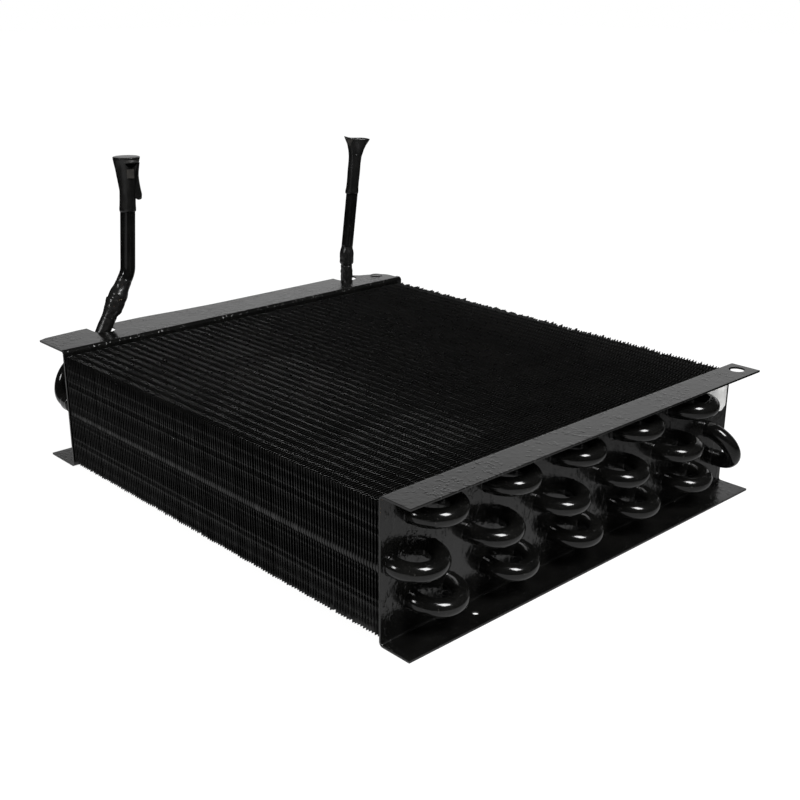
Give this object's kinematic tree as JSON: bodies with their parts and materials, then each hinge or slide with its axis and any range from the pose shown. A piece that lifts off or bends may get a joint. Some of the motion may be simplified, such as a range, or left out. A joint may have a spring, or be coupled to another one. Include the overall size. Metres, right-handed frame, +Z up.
{
  "type": "evaporator coil",
  "caption": "Gloss black fin-and-tube evaporator coil: stacked fins between folded end plates, U bends at both ends, and upright pipes with wrapped ends.",
  "frame": {"origin": "bottom centre of the bounding box, on the plane the lower flanges stand on", "axes": "+X along the tubes towards the hairpin end, +Y along the end plates, +Z up"},
  "size_m": [0.3394, 0.2804, 0.185],
  "materials": {
    "painted_fins": "satin black paint over thin aluminium fins",
    "gloss_black_paint": "gloss black paint with slight orange peel on folded sheet",
    "painted_tube": "high gloss black paint on copper tube",
    "painted_wrap": "black painted sealing wrap",
    "label_paper": "matt white paper label, blank"
  },
  "bodies": {
    "root": {"fin_pack": "painted_fins", "end_plate_near": "gloss_black_paint", "end_plate_far": "gloss_black_paint", "hairpin_01": "painted_tube", "hairpin_02": "painted_tube", "hairpin_03": "painted_tube", "hairpin_04": "painted_tube", "hairpin_05": "painted_tube", "hairpin_06": "painted_tube", "hairpin_07": "painted_tube", "hairpin_08": "painted_tube", "hairpin_09": "painted_tube", "hairpin_10": "painted_tube", "hairpin_11": "painted_tube", "hairpin_12": "painted_tube", "hairpin_13": "painted_tube", "hairpin_14": "painted_tube", "hairpin_15": "painted_tube", "hairpin_16": "painted_tube", "return_bend_01": "painted_tube", "return_bend_02": "painted_tube", "return_bend_03": "painted_tube", "return_bend_04": "painted_tube", "return_bend_05": "painted_tube", "return_bend_06": "painted_tube", "return_bend_07": "painted_tube", "return_bend_08": "painted_tube", "return_bend_09": "painted_tube", "return_bend_10": "painted_tube", "return_bend_11": "painted_tube", "return_bend_12": "painted_tube", "return_bend_13": "painted_tube", "return_bend_14": "painted_tube", "return_bend_15": "painted_tube", "suction_stub": "painted_tube", "suction_coupling": "painted_tube", "suction_pipe": "painted_tube", "suction_end_wrap": "painted_wrap", "liquid_stub": "painted_tube", "liquid_coupling": "painted_tube", "liquid_pipe": "painted_tube", "liquid_end_wrap": "painted_wrap", "blank_label": "label_paper"}
  },
  "joints": []
}
